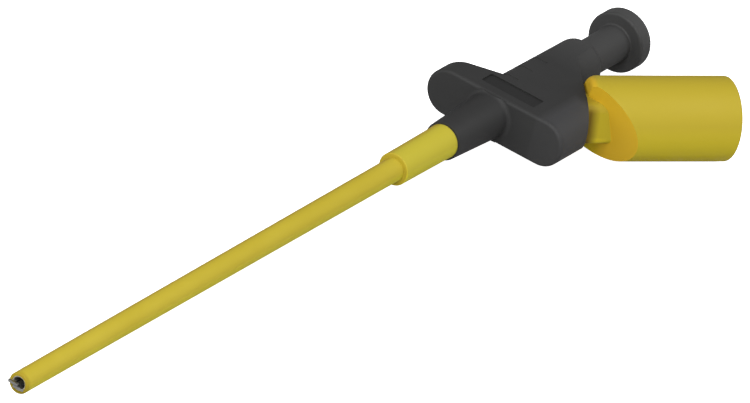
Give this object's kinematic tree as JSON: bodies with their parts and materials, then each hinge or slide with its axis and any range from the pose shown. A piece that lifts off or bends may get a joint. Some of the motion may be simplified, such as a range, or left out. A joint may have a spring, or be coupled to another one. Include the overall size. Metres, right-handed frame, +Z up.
{
  "type": "clamp-type safety test probe",
  "caption": "Long insulated test probe whose push button pushes two small claws out of the tip; a shrouded 4 mm socket takes the lead.",
  "frame": {"origin": "centre of the shaft sleeve's nose, where the claws grip", "axes": "+X back along the shaft to the push button, +Z up out of the handle's flat side, the lead socket leaves backwards and towards -Y"},
  "size_m": [0.1599, 0.0384, 0.0126],
  "materials": {
    "black_moulding": "fine matt moulded polyamide",
    "yellow_moulding": "satin moulded polyamide",
    "nickelled_brass": "nickel-plated turned brass",
    "nickel_silver": "bright drawn tube",
    "spring_steel": "bright drawn wire and stamped strip"
  },
  "bodies": {
    "probe_body": {"handle_body": "black_moulding", "sleeve": "yellow_moulding", "shaft_tube": "nickel_silver", "front_bush": "nickelled_brass", "spring_washer": "spring_steel", "socket_housing": "yellow_moulding", "lock_washer": "nickelled_brass", "contact_tube": "nickelled_brass", "socket_insulator": "yellow_moulding", "socket_stem": "nickelled_brass"},
    "plunger": {"push_button": "black_moulding", "rod_ferrule": "nickelled_brass", "contact_rod": "spring_steel", "stop_collar": "nickelled_brass", "jaw_carrier": "nickelled_brass", "pivot_pin": "spring_steel", "return_spring": "spring_steel"},
    "upper_claw": {"claw_upper": "spring_steel"},
    "lower_claw": {"claw_lower": "spring_steel"}
  },
  "joints": [
    {"name": "button_press", "type": "slide", "parent": "probe_body", "child": "plunger", "axis": [-1, 0, 0], "range_m": [0, 0.007], "stiffness_N_per_m": 300, "springref_m": -0.004, "deforming": ["return_spring"]},
    {"name": "upper_claw_hinge", "type": "hinge", "parent": "plunger", "child": "upper_claw", "pos_m": [0.005, 0, 0], "axis": [0, 0, -1], "range_deg": [0, 12]},
    {"name": "lower_claw_hinge", "type": "hinge", "parent": "plunger", "child": "lower_claw", "pos_m": [0.005, 0, 0], "axis": [0, 0, 1], "range_deg": [0, 12]}
  ],
  "couplings": [
    {"joint": "upper_claw_hinge", "follows": "button_press", "rad_per_m": 29.92},
    {"joint": "lower_claw_hinge", "follows": "button_press", "rad_per_m": 29.92}
  ]
}
